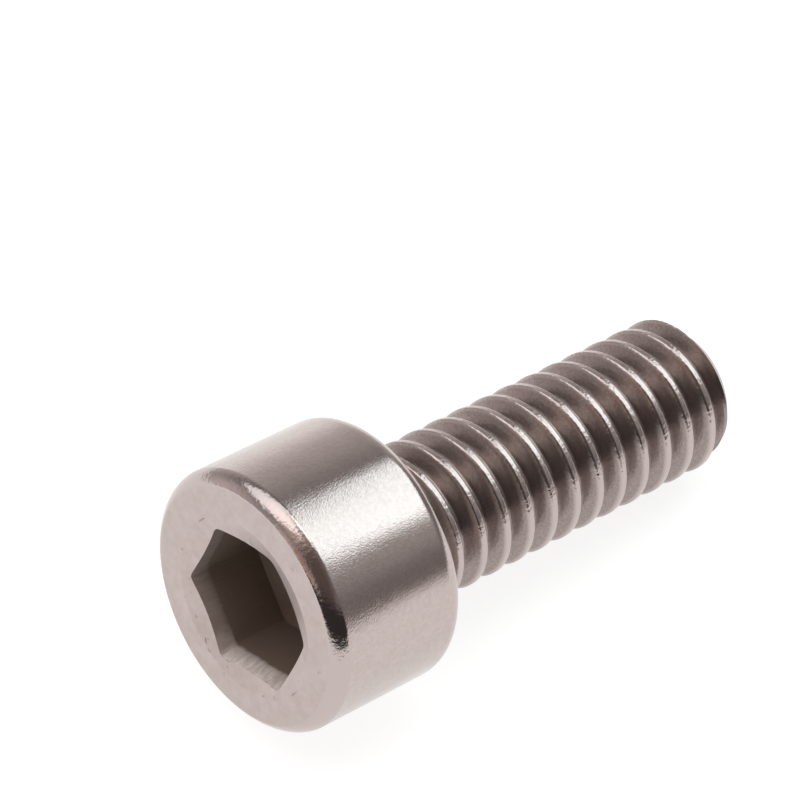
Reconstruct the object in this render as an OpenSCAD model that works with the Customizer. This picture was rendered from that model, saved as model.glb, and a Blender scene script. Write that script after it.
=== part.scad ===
// Socket head cap screw, number 8 with 32 threads to the inch, seven sixteenths long.
// One forged and thread-rolled stainless steel piece, lying as it comes to rest on its
// head rim and its last thread. X runs along it towards the tip, Z is up, Z = 0 is the floor.

/* [Head] */
// Outside diameter of the cylindrical head, mm
head_d = 6.86; // [6.65:0.01:6.9]
// Height of the head from the bearing face to the socket face, mm
head_h = 4.1; // [3.8:0.01:4.4]
// Width of the crowned edge band, measured in from the side of the head, mm
edge_w = 0.31; // [0.2:0.01:0.4]
// Height of the crowned edge band, measured down from the socket face, mm
edge_h = 0.38; // [0.2:0.01:0.5]
// Radius of the crown across the edge band, mm
edge_r = 0.61; // [0.5:0.01:2]
// Radius of the rounding on the rim of the bearing face, mm
rim_r = 0.48; // [0.1:0.01:0.6]
// Radius of the fillet between the bearing face and the shank, mm
neck_r = 0.24; // [0.1:0.02:0.4]

/* [Socket] */
// Key size across the flats of the hexagon socket, mm
key_size = 3.6; // [3.57:0.01:3.63]
// Depth of the flat socket walls below the socket face, mm
socket_depth = 2.1; // [1.9:0.05:2.4]
// Diameter of the countersink around the socket mouth, mm
mouth_d = 4.72; // [4.2:0.02:5]
// Slope of the countersink below the socket face, degrees
mouth_slope = 18; // [10:1:45]
// Slope of the conical floor of the socket, degrees
floor_slope = 28; // [10:1:31]
// Turn of the hexagon about the screw's own axis, degrees
key_turn = 19.5; // [0:0.5:59.5]

/* [Thread] */
// Major diameter over the thread crests, mm
thread_d = 4.05; // [3.99:0.01:4.14]
// Pitch from crest to crest, mm
pitch = 0.79375; // [0.6:0.00125:1.05]
// Length from the bearing face to the end of the thread, mm
shank_l = 10.8; // [9:0.01:13]
// Diameter of the flat end face inside the end chamfer, mm
point_d = 3.2; // [2.8:0.05:3.6]
// Slope of the end chamfer from the axis, degrees
point_slope = 45; // [35:1:50]
// Length of incomplete thread beside the head, in pitches
run_out = 1.2; // [0.5:0.1:2]
// Turn of the thread about the screw's own axis, degrees
thread_turn = 65; // [0:5:355]

/* [Hidden] */
$fn = 96;
head_r = head_d / 2;
thread_r = thread_d / 2;
point_r = point_d / 2;
mouth_r = mouth_d / 2;
// Middle of the edge band's crown, out from the axis and along it, and the crown's lean where it
// leaves the socket face: 0 faces straight back along the axis, 90 faces out from it.
edge_chord = norm([edge_w, edge_h]);
edge_sink = sqrt(edge_r * edge_r - edge_chord * edge_chord / 4);
edge_mid = [head_r - edge_w / 2 - edge_sink * edge_h / edge_chord,
            -head_h + edge_h / 2 + edge_sink * edge_w / edge_chord];
edge_start = atan2(edge_h, edge_w) - asin(edge_chord / 2 / edge_r);
// The sixty degree form in pitches: its depth, its crest flat, wide as rolled crests that are not quite
// filled leave it, and the run of each flank.
form_depth = 0.542;
crest_flat = 0.21;
flank_run = form_depth * tan(30);
// Flat facets in one turn of the thread, and profile points in one pitch.
turn_steps = 40;
form = [-crest_flat / 2, crest_flat / 2, crest_flat / 2 + flank_run, 1 - crest_flat / 2 - flank_run];
form_n = len(form);
// The thread runs from inside the head to one pitch past the end, where it is trimmed.
thread_start = -1.1 * pitch;
turns = ceil((shank_l + pitch - thread_start) / pitch);
rows = turns * form_n;
// Place along the axis where the end chamfer reaches the crests.
crest_end = shank_l - (thread_r - point_r) / tan(point_slope);
// Place of the last full crest on the line that lies on the floor.
crest_turn = thread_turn / 360;
crest_rest = thread_start + pitch * (floor((crest_end - thread_start) / pitch + crest_turn) - crest_turn);
// Rest angle: the rounded head rim and that crest touch the floor together.
reach = crest_rest + rim_r;
step = head_r - rim_r - thread_r;
rest = atan2(step, reach) + asin(rim_r / norm([step, reach]));
rest_z = crest_rest * sin(rest) + thread_r * cos(rest);
// Ends of the lying screw along X, from the middle of the bearing face.
tip_x = shank_l * cos(rest) + point_r * sin(rest);
face_x = edge_mid[0] * sin(rest) - edge_mid[1] * cos(rest) + edge_r * cos(max(0, edge_start - rest));
mid_x = (tip_x - face_x) / 2;

// Share of the full thread depth at a place along the axis.
function fullness(z) = min(1, max(0, (z - 0.25 * neck_r) / (run_out * pitch)));

// Radius of one row of the thread form: rows 0 and 1 are the crest, 2 and 3 the root.
function row_r(j, z) = thread_r - ((j % form_n) < 2 ? 0 : form_depth * pitch * fullness(z));

// Place of one thread row along the axis at facet i of the turn.
function row_z(j, i) = thread_start + pitch * (form[j % form_n] + floor(j / form_n) + i / turn_steps);

// One point of the thread surface.
function row_point(j, i) =
    let (z = row_z(j, i), a = 360 * i / turn_steps)
    [row_r(j, z) * cos(a), row_r(j, z) * sin(a), z];

// Index of a point: the far side of the seam is the same row one pitch further on.
function at(j, i) = i < turn_steps ? j * turn_steps + i : (j + form_n) * turn_steps;

// Rolled thread as one closed helical solid, its ragged ends closed to points on the axis.
module thread_body() {
    points = [for (j = [0 : rows]) for (i = [0 : turn_steps - 1]) row_point(j, i)];
    low = len(points);
    high = low + 1;
    z_low = row_z(0, 0) - 0.2 * pitch;
    z_high = row_z(rows, turn_steps - 1) + 0.2 * pitch;
    wall = [for (j = [0 : rows - 1])
            for (i = [0 : turn_steps - 1])
            if (i < turn_steps - 1 || j + 1 + form_n <= rows)
            for (t = [[at(j, i), at(j + 1, i), at(j + 1, i + 1)],
                      [at(j, i), at(j + 1, i + 1), at(j, i + 1)]])
            t];
    low_loop = concat([for (i = [0 : turn_steps]) at(0, i)], [for (j = [form_n - 1 : -1 : 1]) at(j, 0)]);
    high_loop = concat([for (i = [0 : turn_steps - 1]) at(rows, i)],
                       [for (j = [1 : form_n]) at(rows - j, turn_steps - 1)]);
    low_cap = [for (i = [0 : len(low_loop) - 1])
               [low, low_loop[i], low_loop[(i + 1) % len(low_loop)]]];
    high_cap = [for (i = [0 : len(high_loop) - 1])
                [high, high_loop[(i + 1) % len(high_loop)], high_loop[i]]];
    polyhedron(concat(points, [[0, 0, z_low], [0, 0, z_high]]),
               concat(wall, low_cap, high_cap), convexity = 10);
}

// Envelope of the shank: its end is cut flat with a chamfer around it.
module shank_limit() {
    wide = thread_r + pitch;
    rotate_extrude()
        polygon([[0, -3 * pitch], [wide, -3 * pitch], [wide, shank_l - (wide - point_r) / tan(point_slope)],
                 [point_r, shank_l], [0, shank_l]]);
}

// Half section of the head: a crowned band with crisp creases at the socket face, a round rim below.
module head_section() {
    difference() {
        translate([0, -head_h])
            square([head_r, head_h]);
        translate(edge_mid)
            difference() {
                mirror([0, 1])
                    square(2 * edge_r);
                circle(edge_r);
            }
        translate([head_r - rim_r, -rim_r])
            difference() {
                square([rim_r, rim_r]);
                circle(rim_r);
            }
    }
}

// Half section of the fillet under the head, its foot sunk a little into the shank.
module neck_section() {
    foot = thread_r - neck_r / 8;
    difference() {
        translate([0, -neck_r])
            square([foot + neck_r, 2 * neck_r]);
        translate([foot + neck_r, neck_r])
            circle(neck_r);
    }
}

// Hexagon socket with a conical floor, and the countersink at its mouth.
module socket() {
    corner_r = key_size / 2 / cos(30);
    translate([0, 0, -head_h + socket_depth])
        rotate([0, 0, key_turn])
            mirror([0, 0, 1])
                cylinder(h = 2 * socket_depth, r = corner_r, $fn = 6);
    translate([0, 0, -head_h + socket_depth])
        cylinder(h = key_size / 2 * tan(floor_slope), r1 = key_size / 2, r2 = 0);
    translate([0, 0, -head_h])
        cylinder(h = mouth_r * tan(mouth_slope), r1 = mouth_r, r2 = 0);
}

// The whole screw on its own axis: bearing face at Z = 0, tip towards +Z.
module screw_on_axis() {
    difference() {
        union() {
            rotate_extrude()
                head_section();
            rotate_extrude()
                neck_section();
            intersection() {
                rotate([0, 0, thread_turn])
                    thread_body();
                shank_limit();
            }
        }
        socket();
    }
}

module cap_screw() {
    color([0.74, 0.71, 0.69])
        translate([-mid_x, 0, rest_z])
            rotate([0, 90 + rest, 0])
                screw_on_axis();
}

cap_screw();
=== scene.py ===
import math

import bpy
import numpy as np
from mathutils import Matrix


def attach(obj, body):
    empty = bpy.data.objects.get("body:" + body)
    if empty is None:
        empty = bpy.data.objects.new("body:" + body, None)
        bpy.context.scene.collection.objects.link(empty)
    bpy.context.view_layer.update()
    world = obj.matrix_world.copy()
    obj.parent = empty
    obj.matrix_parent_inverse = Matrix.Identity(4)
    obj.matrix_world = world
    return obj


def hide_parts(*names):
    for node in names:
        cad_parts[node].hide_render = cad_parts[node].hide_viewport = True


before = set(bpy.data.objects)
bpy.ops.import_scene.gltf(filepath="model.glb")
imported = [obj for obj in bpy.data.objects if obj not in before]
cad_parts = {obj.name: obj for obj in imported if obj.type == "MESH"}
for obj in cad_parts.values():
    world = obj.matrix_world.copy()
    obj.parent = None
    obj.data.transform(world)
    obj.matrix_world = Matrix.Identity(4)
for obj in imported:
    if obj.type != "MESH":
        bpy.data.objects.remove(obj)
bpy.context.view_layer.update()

# Sizes of the screw in millimetres, as in the part's source.
MM = 0.001
HEAD_R = 6.86 / 2
HEAD_H = 4.1
EDGE_W = 0.31
EDGE_H = 0.38
EDGE_R = 0.61
RIM_R = 0.48
NECK_R = 0.24
KEY = 3.6
SOCKET_DEPTH = 2.1
MOUTH_R = 4.72 / 2
MOUTH_SLOPE = math.radians(18)
FLOOR_SLOPE = math.radians(28)
KEY_TURN = math.radians(19.5)
THREAD_R = 4.05 / 2
PITCH = 0.79375
THREAD_DEPTH = 0.542 * PITCH
SHANK_L = 10.8
POINT_R = 3.2 / 2
RUN_OUT = 1.2 * PITCH
THREAD_TURN = math.radians(65)
THREAD_START = -1.1 * PITCH

# The neck's fillet ends a little below the crests and falls away from there by this much a millimetre, and
# the thread's run-out starts inside the fillet.
NECK_FOOT = THREAD_R - NECK_R / 8
FOOT_FALL = 1.5
RUN_OUT_FROM = 0.25 * NECK_R

# Crown of the edge band: its middle along the axis and out from it, and the lean of its two creases.
EDGE_CHORD = math.hypot(EDGE_W, EDGE_H)
EDGE_SINK = math.sqrt(EDGE_R ** 2 - EDGE_CHORD ** 2 / 4)
EDGE_MID_S = -HEAD_H + EDGE_H / 2 + EDGE_SINK * EDGE_W / EDGE_CHORD
EDGE_MID_R = HEAD_R - EDGE_W / 2 - EDGE_SINK * EDGE_H / EDGE_CHORD
EDGE_HALF = math.asin(EDGE_CHORD / 2 / EDGE_R)
EDGE_START = math.atan2(EDGE_H, EDGE_W) - EDGE_HALF
EDGE_STOP = EDGE_START + 2 * EDGE_HALF

# The lying pose: the head's rim and the last full crest touch the floor together. The axis dips by the rest
# angle, and the bearing face's middle stands REST_Z up and MID_X back from the middle of the screw's box.
CREST_TURN = THREAD_TURN / (2 * math.pi)
CREST_END = SHANK_L - (THREAD_R - POINT_R)
LAST_CREST = math.floor((CREST_END - THREAD_START) / PITCH + CREST_TURN) - CREST_TURN
CREST_REST = THREAD_START + PITCH * LAST_CREST
REACH = CREST_REST + RIM_R
STEP = HEAD_R - RIM_R - THREAD_R
REST = math.atan2(STEP, REACH) + math.asin(RIM_R / math.hypot(STEP, REACH))
REST_Z = CREST_REST * math.sin(REST) + THREAD_R * math.cos(REST)
TIP_X = SHANK_L * math.cos(REST) + POINT_R * math.sin(REST)
FACE_X = HEAD_H * math.cos(REST) + (HEAD_R - EDGE_W) * math.sin(REST)
MID_X = (TIP_X - FACE_X) / 2

# The socket as punched: its mouth lies a little off the axis, its walls widen near the mouth to a worn lip
# that lies further off, and a fold runs round the mouth where the punch's shoulder pressed the face.
DEEP_ACROSS = 3.56
DEEP_OFF = 0.06
LIP_ACROSS = 3.67
LIP_OFF = 0.14
MOUTH_OFF = 0.07
OFF_TURN = math.radians(-14)
LEAD_IN = 0.52
LEAD_CURVE = 1.4
FOLD_W = 0.03
FOLD_DEPTH = 0.03
# Middle and half width of the two arcs where the fold shows.
FOLD_ARCS = ((math.radians(-49), math.radians(24)), (math.radians(132), math.radians(13)))

# The higher this power, the sharper the corners of the socket.
CORNER_POWER = 44

# Width of the soft crease on each side of the edge band.
CREASE = 0.03

# Columns round the screw, a multiple of six so that the socket's corners fall on columns.
COLUMNS = 180

# Points closer than this, in millimetres, become one.
WELD = 0.0002

# Edges that bend by more than this stay crisp.
CRISP = math.radians(14)

# One pitch of the rolled thread from a crest's middle to the root's: place in pitches, share of the depth.
# Rolling leaves the crest nearly flat with soft shoulders, and a round root.
HALF_FORM = np.array([
    (0.000, 0.000), (0.040, 0.000), (0.070, 0.002), (0.088, 0.013), (0.104, 0.036), (0.120, 0.066),
    (0.140, 0.112), (0.250, 0.463), (0.350, 0.778), (0.392, 0.895), (0.430, 0.968), (0.465, 0.993),
    (0.500, 1.000),
])
FORM_AT = np.concatenate([HALF_FORM[:, 0], 1 - HALF_FORM[-2:0:-1, 0]])
FORM_SHARE = np.concatenate([HALF_FORM[:, 1], HALF_FORM[-2:0:-1, 1]])

# Finish of each band of rows, in the order of the mesh's material slots.
SOCKET, FACE, EDGE, SIDE, UNDER, THREAD, END = range(7)


def lying(s, r, turn):
    """World metres of points s along the axis from the bearing face, r out from it and turned from
    straight down towards +Y: the axis dips by the rest angle from the bearing face's middle."""
    down = r * np.cos(turn)
    x = -MID_X + s * math.cos(REST) - down * math.sin(REST)
    z = REST_Z - s * math.sin(REST) - down * math.cos(REST)
    return np.stack([x, r * np.sin(turn), z], axis=-1) * MM


def hexagon_reach(turn, across, off):
    """Distance of the socket's wall from the axis: of the six walls' distances, each half the width across
    flats plus its share of the punch's offset over the cosine of the angle from that wall's middle, the
    smallest, softened so that the corners keep the punch's small radius."""
    middle = KEY_TURN + math.pi / 6 + np.arange(6)[:, None] * math.pi / 3
    wall = across / 2 + off * np.cos(middle - OFF_TURN)
    inverse = np.maximum(np.cos(turn - middle), 0) / wall
    return np.sum(inverse ** CORNER_POWER, axis=0) ** (-1 / CORNER_POWER)


def fold_share(turn):
    """Share of the fold's depth round the socket's mouth: a bell curve over each arc, times two sine waves
    of 17 and 31 turns that break it into notches."""
    near = sum(np.exp(-((np.mod(turn - middle + math.pi, 2 * math.pi) - math.pi) / half) ** 2)
               for middle, half in FOLD_ARCS)
    return near * np.clip(0.5 + np.sin(17 * turn) + 0.6 * np.sin(31 * turn + 1), 0, 1)


def eased(before, crease, after):
    """Rows of a soft crease: the parabola that leaves one side at a point before the crease and joins the
    other at a point after it, without the point where it starts."""
    step = np.linspace(0, 1, 5)[1:, None]
    path = ((1 - step) ** 2 * np.array(before) + 2 * step * (1 - step) * np.array(crease)
            + step ** 2 * np.array(after))
    return path[:, :1], path[:, 1:]


def rounding(mid_s, mid_r, radius, start, stop, count):
    """Rows at one radius from a middle, swept from start to stop, where 0 looks back along the axis
    and a quarter turn looks out from it."""
    sweep = np.linspace(start, stop, count)[:, None]
    return mid_s - radius * np.cos(sweep), mid_r + radius * np.sin(sweep)


def thread_radius(s, turn):
    """Radius of the rolled thread: the crest less the form's share of the depth at this place in the
    pitch, shallower in the run-out by the head, and never past the end chamfer's cone."""
    crest = THREAD_START + PITCH * (turn - THREAD_TURN) / (2 * math.pi)
    share = np.interp((s - crest) / PITCH, FORM_AT, FORM_SHARE, period=1)
    full = np.clip((s - RUN_OUT_FROM) / RUN_OUT, 0, 1)
    foot = NECK_FOOT - FOOT_FALL * np.maximum(s - NECK_R, 0)
    return np.minimum(np.maximum(THREAD_R - THREAD_DEPTH * full * share, foot), POINT_R + SHANK_L - s)


def head_rows(turn):
    """Rows from the socket's floor to the shank: a cone, six walls that widen to a worn lip, the
    countersink's cone, a fold round the mouth, the flat face, the crowned edge between two soft creases, the
    straight side, a rounded rim, the bearing face and the neck's fillet."""
    rows = []

    def band(finish, s, r):
        shape = (len(s), COLUMNS)
        rows.append((np.broadcast_to(s, shape), np.broadcast_to(r, shape), np.full(len(s), finish)))

    # The socket's floor, its deep walls and their lead-in.
    deep_r = hexagon_reach(turn, DEEP_ACROSS, DEEP_OFF)
    lip_r = np.maximum(hexagon_reach(turn, LIP_ACROSS, LIP_OFF), deep_r)
    mouth_r = MOUTH_R + MOUTH_OFF * np.cos(turn - OFF_TURN)
    floor_s = -HEAD_H + SOCKET_DEPTH
    lead_s = -HEAD_H + LEAD_IN
    lip_s = -HEAD_H + (mouth_r - lip_r) * math.tan(MOUTH_SLOPE)
    share = np.linspace(0, 1, 6)[:, None]
    band(SOCKET, floor_s + KEY / 2 * (1 - share) * math.tan(FLOOR_SLOPE), deep_r * share)
    share = share[1:]
    band(SOCKET, floor_s + (lead_s - floor_s) * share, deep_r)
    band(SOCKET, lead_s + (lip_s - lead_s) * share, deep_r + (lip_r - deep_r) * share ** LEAD_CURVE)

    # The countersink, the fold round its mouth and the face, with a row close to the crease.
    share = np.linspace(0, 1, 5)[:, None]
    inner_r = mouth_r - FOLD_W
    inner_s = -HEAD_H + FOLD_W * math.tan(MOUTH_SLOPE)
    band(FACE, lip_s + (inner_s - lip_s) * share, lip_r + (inner_r - lip_r) * share)
    band(FACE, (-HEAD_H + FOLD_DEPTH * fold_share(turn))[None, :], mouth_r)
    outer_r = mouth_r + FOLD_W
    face_r = HEAD_R - EDGE_W
    share = np.array([0, 0.2, 0.4, 0.6, 0.8, 0.95, 1])[:, None]
    band(FACE, np.full_like(share, -HEAD_H), outer_r + (face_r - CREASE - outer_r) * share)

    # The crowned edge between its creases.
    lean = CREASE / EDGE_R
    edge_s, edge_r = rounding(EDGE_MID_S, EDGE_MID_R, EDGE_R, EDGE_START + lean, EDGE_STOP - lean, 12)
    side_s = -HEAD_H + EDGE_H
    band(EDGE, *eased((-HEAD_H, face_r - CREASE), (-HEAD_H, face_r), (edge_s[0, 0], edge_r[0, 0])))
    band(EDGE, edge_s[1:], edge_r[1:])
    band(EDGE, *eased((edge_s[-1, 0], edge_r[-1, 0]), (side_s, HEAD_R), (side_s + CREASE, HEAD_R)))

    # The side, with a row close to the crease and one close to the rim, and the rim.
    middle = np.linspace(side_s + CREASE, -RIM_R, 10)[1:-1]
    s = np.concatenate([[side_s + 2 * CREASE], middle, [-RIM_R - CREASE]])[:, None]
    band(SIDE, s, HEAD_R)
    band(SIDE, *rounding(-RIM_R, HEAD_R - RIM_R, RIM_R, math.pi / 2, math.pi, 14))

    # The bearing face and the neck.
    r = np.linspace(HEAD_R - RIM_R, NECK_FOOT + NECK_R, 6)[1:, None]
    band(UNDER, np.zeros_like(r), r)
    sweep = np.linspace(0, math.pi / 2, 8)[:, None]
    s = NECK_R * (1 - np.cos(sweep))
    r = NECK_FOOT + NECK_R * (1 - np.sin(sweep))
    band(THREAD, s, np.maximum(r, thread_radius(s, turn)))
    return rows


def thread_rows(turn):
    """Rows of the thread along its helix: each row keeps its place in the form and climbs one pitch a
    turn, held between the neck and the end of the shank."""
    first = THREAD_START + PITCH * (turn - THREAD_TURN) / (2 * math.pi)
    low = math.floor((NECK_R - first[0]) / PITCH) - 1
    high = math.ceil((SHANK_L - first[0]) / PITCH) + 1
    place = (np.arange(low, high)[:, None] + FORM_AT).ravel()[:, None]
    s = np.clip(first + PITCH * place, NECK_R, SHANK_L)
    return s, thread_radius(s, turn), np.full(len(s), THREAD)


def end_rows(turn):
    """Rows of the flat end: the last ring drawn in to the axis."""
    share = np.array([1, 0.97, 0.7, 0.4, 0])[:, None]
    s = np.full((len(share), COLUMNS), SHANK_L)
    return s, share * thread_radius(SHANK_L, turn), np.full(len(share), END)


def cap_screw_mesh():
    """The whole screw as one closed grid of rows along its profile and columns round its axis. The
    thread's rows join the same form one pitch further on where the last column meets the first."""
    turn = KEY_TURN + 2 * math.pi * np.arange(COLUMNS) / COLUMNS
    head = head_rows(turn)
    thread = thread_rows(turn)
    s, r, kind = (np.concatenate(parts) for parts in zip(*head, thread, end_rows(turn)))
    points = lying(s, r, turn).reshape(-1, 3)

    before = sum(len(part[0]) for part in head)
    after = before + len(thread[0]) - 1
    climb = len(FORM_AT)
    near, column = np.mgrid[:len(s) - 1, :COLUMNS]
    far = near + 1
    beside = (column + 1) % COLUMNS
    seam = (column == COLUMNS - 1) & (near >= before) & (near < after)
    near_next = np.where(seam, np.minimum(near + climb, after), near)
    far_next = np.where(seam, np.minimum(far + climb, after), far)
    quads = np.stack([near * COLUMNS + column, near_next * COLUMNS + beside,
                      far_next * COLUMNS + beside, far * COLUMNS + column], axis=-1).reshape(-1, 4)
    finish = np.repeat(np.maximum(kind[:-1], kind[1:]), COLUMNS)

    # Points that coincide become one: a quad with two such corners is a triangle, one with more vanishes.
    grid = WELD * MM
    joined, index = np.unique(np.round(points / grid).astype(np.int64), axis=0, return_inverse=True)
    quads = index.reshape(-1)[quads]
    same = quads == np.roll(quads, -1, axis=1)
    whole = ~same.any(axis=1)
    cut = same.sum(axis=1) == 1
    corner = (same[cut].argmax(axis=1)[:, None] + np.arange(1, 4)) % 4
    tris = np.take_along_axis(quads[cut], corner, axis=1)

    mesh = bpy.data.meshes.new("cap_screw_skin")
    mesh.from_pydata((joined * grid).tolist(), [], quads[whole].tolist() + tris.tolist())
    slots = np.concatenate([finish[whole], finish[cut]]).astype(np.int32)
    mesh.polygons.foreach_set("material_index", slots)
    mesh.shade_smooth()
    mesh.set_sharp_from_angle(angle=CRISP)
    mesh.update()
    return mesh


def linear(code):
    """Linear colour of an sRGB hex value."""
    part = [int(code[i:i + 2], 16) / 255 for i in (1, 3, 5)]
    return [v / 12.92 if v <= 0.04045 else ((v + 0.055) / 1.055) ** 2.4 for v in part] + [1.0]


def add(tree, kind, fields=None, values=None, links=None):
    """Adds a node, sets its fields and socket values, and links its inputs."""
    made = tree.nodes.new(kind)
    for name, value in (fields or {}).items():
        setattr(made, name, value)
    for name, value in (values or {}).items():
        made.inputs[name].default_value = value
    for name, source in (links or {}).items():
        tree.links.new(source, made.inputs[name])
    return made


def steel(name, colour, roughness):
    """A metal finish: its shader, and the place to read patterns from, in millimetres from the bearing
    face along the screw's axis (X) and across it (Y, Z)."""
    material = bpy.data.materials.new(name)
    material.use_nodes = True
    tree = material.node_tree
    tree.nodes.clear()
    place = add(tree, "ShaderNodeTexCoord")
    start = (MID_X * math.cos(REST) + REST_Z * math.sin(REST), 0,
             MID_X * math.sin(REST) - REST_Z * math.cos(REST))
    along = add(tree, "ShaderNodeMapping",
                values={"Location": start, "Rotation": (0, -REST, 0), "Scale": (1 / MM, 1 / MM, 1 / MM)},
                links={"Vector": place.outputs["Object"]})
    shader = add(tree, "ShaderNodeBsdfPrincipled",
                 values={"Base Color": linear(colour), "Metallic": 1.0, "Roughness": roughness})
    add(tree, "ShaderNodeOutputMaterial", links={"Surface": shader.outputs["BSDF"]})
    return material, tree, along.outputs["Vector"], shader


def mottled(tree, pattern, dark, pale):
    """Colour that goes from dark to pale over the middle of a pattern's range."""
    share = add(tree, "ShaderNodeMapRange", values={"From Min": 0.35, "From Max": 0.65},
                links={"Value": pattern.outputs["Fac"]})
    mixed = add(tree, "ShaderNodeMix", fields={"data_type": "RGBA"},
                values={6: linear(dark), 7: linear(pale)}, links={0: share.outputs["Result"]})
    return mixed.outputs[2]


# Clean stainless steel, and the sizes of its surface patterns in millimetres.
STEEL = "#BDB0AC"
GRAIN = 0.045
SWELL = 0.9
SIDE_STAIN = 0.12
SATIN = 0.09
NICKS = 0.22
FACE_STAIN = 0.3
RAGGED = 0.2
RESIDUE = 0.06
FLAWS = 0.1
# Score marks and drag lines a millimetre, along the screw's axis and across it. Real drag lines are finer
# than the render shows, so they are drawn coarser.
SCORES = (0.6, 9.0, 9.0)
DRAG = (20.0, 1.4, 1.4)

# Depth in the socket where the painted shade and residue start and are full, and how far
# their ragged edge wanders.
DARK_FROM = 0.56
DARK_FULL = 0.68
DARK_WANDER = 0.12

# Distance from the axis, towards +Y, where the socket's painted shade starts and is full.
ASIDE_FROM = 0.5
ASIDE_FULL = 1.1

# Depth below the crests where the crests' tone ends and the flanks' painted shade is full.
CREST_TONE = 0.01
FLANK_TONE = 0.09

# The finishes by material slot.
finishes = {}

# Cold-headed stainless steel, tumbled bright: a fine grain frays the edge of every reflection, most
# towards the face, where the heads knock together. The real grain, about a hundredth of a millimetre, is too
# fine to show and is drawn coarser.
finishes[SIDE], tree, along, shader = steel("stainless_steel_tumbled", STEEL, 0.15)
grain = add(tree, "ShaderNodeTexNoise", values={"Scale": 1 / GRAIN, "Detail": 2.0, "Roughness": 0.6},
            links={"Vector": along})
axial = add(tree, "ShaderNodeSeparateXYZ", links={"Vector": along})
worn = add(tree, "ShaderNodeMapRange",
           values={"From Min": -HEAD_H, "From Max": -0.4 * HEAD_H, "To Min": 1.0, "To Max": 0.55},
           links={"Value": axial.outputs["X"]})
frayed = add(tree, "ShaderNodeBump", values={"Distance": 0.0065 * MM},
             links={"Height": grain.outputs["Fac"], "Strength": worn.outputs["Result"]})
swell = add(tree, "ShaderNodeTexNoise", values={"Scale": 1 / SWELL, "Detail": 2.0}, links={"Vector": along})
wavy = add(tree, "ShaderNodeBump", values={"Distance": 0.008 * MM, "Strength": 1.0},
           links={"Height": swell.outputs["Fac"], "Normal": frayed.outputs["Normal"]})
tree.links.new(wavy.outputs["Normal"], shader.inputs["Normal"])
dull = add(tree, "ShaderNodeMapRange",
           values={"From Min": 0.3, "From Max": 0.7, "To Min": 0.12, "To Max": 0.18},
           links={"Value": grain.outputs["Fac"]})
tree.links.new(dull.outputs["Result"], shader.inputs["Roughness"])
stain = add(tree, "ShaderNodeTexNoise", values={"Scale": 1 / SIDE_STAIN, "Detail": 4.0, "Roughness": 0.65},
            links={"Vector": along})
tree.links.new(mottled(tree, stain, "#BAADA8", "#C1B5B1"), shader.inputs["Base Color"])

# The socket face, pressed flat by the heading die: an even satin with a few nicks.
finishes[FACE], tree, along, shader = steel("stainless_steel_pressed_face", STEEL, 0.30)
satin = add(tree, "ShaderNodeTexNoise", values={"Scale": 1 / SATIN, "Detail": 4.0, "Roughness": 0.6},
            links={"Vector": along})
pressed = add(tree, "ShaderNodeBump", values={"Distance": 0.0022 * MM, "Strength": 1.0},
              links={"Height": satin.outputs["Fac"]})
spots = add(tree, "ShaderNodeTexNoise", values={"Scale": 1 / NICKS, "Detail": 1.0}, links={"Vector": along})
nicks = add(tree, "ShaderNodeMapRange",
            values={"From Min": 0.70, "From Max": 0.78, "To Min": 1.0, "To Max": 0.0},
            links={"Value": spots.outputs["Fac"]})
nicked = add(tree, "ShaderNodeBump", values={"Distance": 0.012 * MM, "Strength": 1.0},
             links={"Height": nicks.outputs["Result"], "Normal": pressed.outputs["Normal"]})
tree.links.new(nicked.outputs["Normal"], shader.inputs["Normal"])
stain = add(tree, "ShaderNodeTexNoise", values={"Scale": 1 / FACE_STAIN, "Detail": 5.0, "Roughness": 0.65},
            links={"Vector": along})
tree.links.new(mottled(tree, stain, "#B7A9A4", "#C0B3AF"), shader.inputs["Base Color"])

# The punched socket, scored along the axis near the mouth. Its colour holds painted light and shade: pale
# near the mouth as a painted lit strip, darker on the +Y side as painted shade, then dark deeper in as
# painted shade with drawn-in residue.
finishes[SOCKET], tree, along, shader = steel("stainless_steel_punched_socket_painted_light_and_shade", "#DCCFC8", 0.45)
axial = add(tree, "ShaderNodeSeparateXYZ", links={"Vector": along})
ragged = add(tree, "ShaderNodeTexNoise", values={"Scale": 1 / RAGGED, "Detail": 3.0},
             links={"Vector": along})
# Painted shade with drawn-in residue: the walls turn dark deeper in, behind a ragged edge.
depth = add(tree, "ShaderNodeMath", fields={"operation": "MULTIPLY_ADD"}, values={1: DARK_WANDER},
            links={0: ragged.outputs["Fac"], 2: axial.outputs["X"]})
deep = add(tree, "ShaderNodeMapRange", fields={"interpolation_type": "SMOOTHSTEP"},
           values={"From Min": -HEAD_H + DARK_FROM, "From Max": -HEAD_H + DARK_FULL},
           links={"Value": depth.outputs["Value"]})
coated = add(tree, "ShaderNodeMapRange", values={"To Min": 0.35, "To Max": 0.25},
             links={"Value": deep.outputs["Result"]})
tree.links.new(coated.outputs["Result"], shader.inputs["Metallic"])
# The scored colour is pale: painted light on the walls near the mouth.
streak = add(tree, "ShaderNodeMapping", values={"Scale": SCORES}, links={"Vector": along})
score = add(tree, "ShaderNodeTexNoise", values={"Scale": 1.0, "Detail": 3.0, "Roughness": 0.7},
            links={"Vector": streak.outputs["Vector"]})
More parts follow.
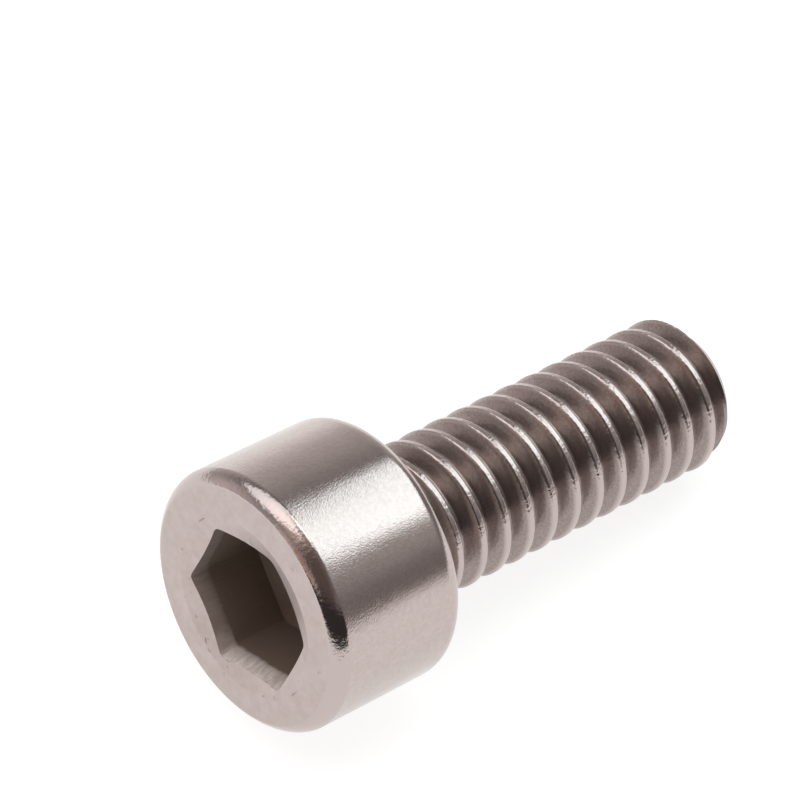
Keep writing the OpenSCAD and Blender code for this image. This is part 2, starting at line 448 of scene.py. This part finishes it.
# Painted shade: the walls towards +Y are darkened.
aside = add(tree, "ShaderNodeMapRange",
            values={"From Min": ASIDE_FROM, "From Max": ASIDE_FULL, "To Max": 0.75},
            links={"Value": axial.outputs["Y"]})
shaded = add(tree, "ShaderNodeMix", fields={"data_type": "RGBA"}, values={7: linear("#84746A")},
             links={0: aside.outputs["Result"], 6: mottled(tree, score, "#D0C3BC", "#EEE4DE")})
tone = add(tree, "ShaderNodeMix", fields={"data_type": "RGBA"}, values={7: linear("#84756A")},
           links={0: deep.outputs["Result"], 6: shaded.outputs[2]})
tree.links.new(tone.outputs[2], shader.inputs["Base Color"])
scored = add(tree, "ShaderNodeBump", values={"Distance": 0.018 * MM, "Strength": 1.0},
             links={"Height": score.outputs["Fac"]})
tree.links.new(scored.outputs["Normal"], shader.inputs["Normal"])

# The rolled thread: crests pale and broken by small flaws, flanks duller below them and browner as painted
# shade in the grooves, mottled in patches; drawn fine along the helix.
finishes[THREAD], tree, along, shader = steel("stainless_steel_rolled_thread_painted_shade", STEEL, 0.20)
across = add(tree, "ShaderNodeVectorMath", fields={"operation": "MULTIPLY"}, values={1: (0.0, 1.0, 1.0)},
             links={0: along})
radius = add(tree, "ShaderNodeVectorMath", fields={"operation": "LENGTH"},
             links={0: across.outputs["Vector"]})
below = add(tree, "ShaderNodeMapRange",
            values={"From Min": THREAD_R - CREST_TONE, "From Max": THREAD_R - FLANK_TONE},
            links={"Value": radius.outputs["Value"]})
residue = add(tree, "ShaderNodeTexNoise", values={"Scale": 1 / RESIDUE, "Detail": 3.0, "Roughness": 0.6},
              links={"Vector": along})
# Painted shade: the flanks darken below the crests, mottled in patches.
tone = add(tree, "ShaderNodeMix", fields={"data_type": "RGBA"}, values={6: linear(STEEL)},
           links={0: below.outputs["Result"], 7: mottled(tree, residue, "#918481", "#A49894")})
tree.links.new(tone.outputs[2], shader.inputs["Base Color"])
dull = add(tree, "ShaderNodeMapRange", values={"To Min": 0.20, "To Max": 0.27},
           links={"Value": below.outputs["Result"]})
tree.links.new(dull.outputs["Result"], shader.inputs["Roughness"])
drag = add(tree, "ShaderNodeMapping", values={"Scale": DRAG}, links={"Vector": along})
lines = add(tree, "ShaderNodeTexNoise", values={"Scale": 1.0, "Detail": 3.0, "Roughness": 0.6},
            links={"Vector": drag.outputs["Vector"]})
rolled = add(tree, "ShaderNodeBump", values={"Distance": 0.003 * MM, "Strength": 1.0},
             links={"Height": lines.outputs["Fac"]})
flaws = add(tree, "ShaderNodeTexNoise", values={"Scale": 1 / FLAWS, "Detail": 2.0}, links={"Vector": along})
fading = add(tree, "ShaderNodeMapRange", values={"To Min": 1.0, "To Max": 0.2},
             links={"Value": below.outputs["Result"]})
flawed = add(tree, "ShaderNodeBump", values={"Distance": 0.014 * MM},
             links={"Height": flaws.outputs["Fac"], "Normal": rolled.outputs["Normal"],
                    "Strength": fading.outputs["Result"]})
tree.links.new(flawed.outputs["Normal"], shader.inputs["Normal"])

# Three finishes with one relief each. A row gives the finish's colour and roughness, then the relief's size
# in millimetres, its detail and roughness as a pattern, and its height in millimetres.
RELIEFS = (
    # The crowned edge, coined by the die: nearly a mirror, with small dents where heads knocked together.
    (EDGE, "stainless_steel_coined_edge", STEEL, 0.10, 0.11, 3.0, 0.6, 0.009),
    # The end as the blank was sheared: grainy.
    (END, "stainless_steel_sheared_end", "#B4A9A3", 0.30, 0.12, 4.0, 0.7, 0.02),
    # The underside of the head, left as forged: dull with a coarse grain.
    (UNDER, "stainless_steel_forged_underside", "#B8ADA7", 0.40, 0.2, 4.0, 0.5, 0.012),
)
for slot, name, colour, roughness, size, detail, rough, height in RELIEFS:
    finishes[slot], tree, along, shader = steel(name, colour, roughness)
    relief = add(tree, "ShaderNodeTexNoise",
                 values={"Scale": 1 / size, "Detail": detail, "Roughness": rough}, links={"Vector": along})
    raised = add(tree, "ShaderNodeBump", values={"Distance": height * MM, "Strength": 1.0},
                 links={"Height": relief.outputs["Fac"]})
    tree.links.new(raised.outputs["Normal"], shader.inputs["Normal"])

screw = bpy.data.objects.new("cap_screw_body", cap_screw_mesh())
bpy.context.scene.collection.objects.link(screw)
for slot in sorted(finishes):
    screw.data.materials.append(finishes[slot])
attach(screw, "root")
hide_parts("cap_screw")


def sheet(name, corners, material, colour, glow=0.0):
    """A flat piece of the stage with four corners and a matt surface, which may glow."""
    mesh = bpy.data.meshes.new(name + "_sheet")
    mesh.from_pydata(corners, [], [(0, 1, 2, 3)])
    made = bpy.data.objects.new(name, mesh)
    bpy.context.scene.collection.objects.link(made)
    matt = bpy.data.materials.new(material)
    matt.use_nodes = True
    shader = matt.node_tree.nodes["Principled BSDF"]
    shader.inputs["Base Color"].default_value = linear(colour)
    shader.inputs["Roughness"].default_value = 0.9
    shader.inputs["Emission Color"].default_value = linear("#FFFFFF")
    shader.inputs["Emission Strength"].default_value = glow
    made.data.materials.append(matt)
    return made


# Plain pale floor: opal acrylic lit from below, so that it stays pale under the screw.
FLOOR_HALF = 0.6
FLOOR_GLOW = 0.85
corners = [(x * FLOOR_HALF, y * FLOOR_HALF, 0) for x, y in ((-1, -1), (1, -1), (1, 1), (-1, 1))]
floor = sheet("floor", corners, "opal_acrylic_floor", "#959494", FLOOR_GLOW)

# Two cards that stand on the floor in front of the screw, as a studio uses to give bright metal a dark edge:
# a black one and, further along, a grey one. Only reflections see them, so they hide the screw in no view.
CARD_AWAY = 0.026
CARD_H = 0.012
CARD_TURN = math.radians(-117)
CARD_SPLIT = 0.016
CARD_END = 0.12
toward = np.array([math.cos(CARD_TURN), math.sin(CARD_TURN), 0])
beside = np.array([-toward[1], toward[0], 0])
for name, start, stop, code in (("black_card", -CARD_END, CARD_SPLIT, "#332E2E"),
                                ("grey_card", CARD_SPLIT, CARD_END, "#8A8282")):
    corners = [(CARD_AWAY * toward + away * beside + (0, 0, up)).tolist()
               for away, up in ((start, 0), (stop, 0), (stop, CARD_H), (start, CARD_H))]
    card = sheet(name, corners, "matt_" + name, code)
    card.visible_camera = False
    card.visible_diffuse = False
    card.visible_shadow = False


# Distance of the lights from the screw, in metres.
LIGHT_AWAY = 0.5


def heading(azimuth, elevation):
    """Unit direction at an azimuth from +X towards +Y and an elevation above the floor, in degrees."""
    around, up = math.radians(azimuth), math.radians(elevation)
    return math.cos(up) * math.cos(around), math.cos(up) * math.sin(around), math.sin(up)


def softbox(name, azimuth, elevation, width, height, tint, radiance):
    """A rectangular soft light that faces the screw, its power worked out from its radiance."""
    light = bpy.data.lights.new(name, "AREA")
    light.shape = "RECTANGLE"
    light.size = width
    light.size_y = height
    light.color = linear(tint)[:3]
    light.energy = radiance * math.pi * width * height
    lamp = bpy.data.objects.new(name, light)
    lamp.location = LIGHT_AWAY * np.array(heading(azimuth, elevation))
    lamp.rotation_euler = (math.radians(90 - elevation), 0, math.radians(azimuth + 90))
    bpy.context.scene.collection.objects.link(lamp)


softbox("softbox_far", -13, 43, 0.40, 0.20, "#EBFBFF", 1.98)
softbox("softbox_left", 128, 63.5, 0.40, 0.46, "#F3FBFF", 1.22)

# A dim room: a pale far wall with a glow at its foot, a paler wall to the left, a warm fall-off beside each
# light, brown shade above the camera, black below it, a reddish patch behind the head and a bright patch of
# ceiling, which the thread's flanks show after two bounces. Each has a direction, the cosines where it fades
# in and is full, and its tone.
ROOM_TONE = (0.25, 0.23, 0.23, 1)
ROOM = (
    (heading(56, -5), 0.55, 1.00, (0.74, 0.71, 0.71, 1)),
    (heading(56, -5), 0.93, 1.00, (1.00, 0.97, 0.97, 1)),
    (heading(150, 12), 0.75, 1.00, (0.46, 0.42, 0.42, 1)),
    (heading(121, 6), 0.87, 1.00, (0.76, 0.70, 0.69, 1)),
    (heading(170, 66), 0.84, 0.99, (0.86, 0.70, 0.65, 1)),
    (heading(-44, 34), 0.91, 1.03, (0.62, 0.60, 0.60, 1)),
    (heading(-130, 36), 0.80, 0.95, (0.15, 0.115, 0.105, 1)),
    (heading(-130, -25), 0.56, 0.72, (0.085, 0.072, 0.075, 1)),
    (heading(178, 9), 0.90, 0.985, (0.86, 0.78, 0.70, 1)),
    (heading(-178, 21), 0.978, 0.992, (0.50, 0.33, 0.29, 1)),
    (heading(-22, 70), 0.948, 0.987, (2.82, 2.92, 2.80, 1)),
)
world = bpy.data.worlds.new("room")
bpy.context.scene.world = world
world.use_nodes = True
tree = world.node_tree
look = add(tree, "ShaderNodeTexCoord")
room = None
for toward, least, most, tone in ROOM:
    facing = add(tree, "ShaderNodeVectorMath", fields={"operation": "DOT_PRODUCT"}, values={1: toward},
                 links={0: look.outputs["Generated"]})
    share = add(tree, "ShaderNodeMapRange", values={"From Min": least, "From Max": most},
                links={"Value": facing.outputs["Value"]})
    mixed = add(tree, "ShaderNodeMix", fields={"data_type": "RGBA"}, values={6: ROOM_TONE, 7: tone},
                links={0: share.outputs["Result"]})
    if room:
        tree.links.new(room, mixed.inputs[6])
    room = mixed.outputs[2]
tree.links.new(room, tree.nodes["Background"].inputs["Color"])

# Camera at the photograph's viewing angle.
lens = bpy.data.cameras.new("camera")
lens.angle = math.radians(10.529)
lens.clip_start = 0.01
camera = bpy.data.objects.new("camera", lens)
camera.location = (-0.052363, -0.056641, 0.078547)
camera.rotation_euler = (math.radians(46.800), 0, math.radians(-41.484))
bpy.context.scene.collection.objects.link(camera)
bpy.context.scene.camera = camera
bpy.context.scene.view_settings.view_transform = "Standard"
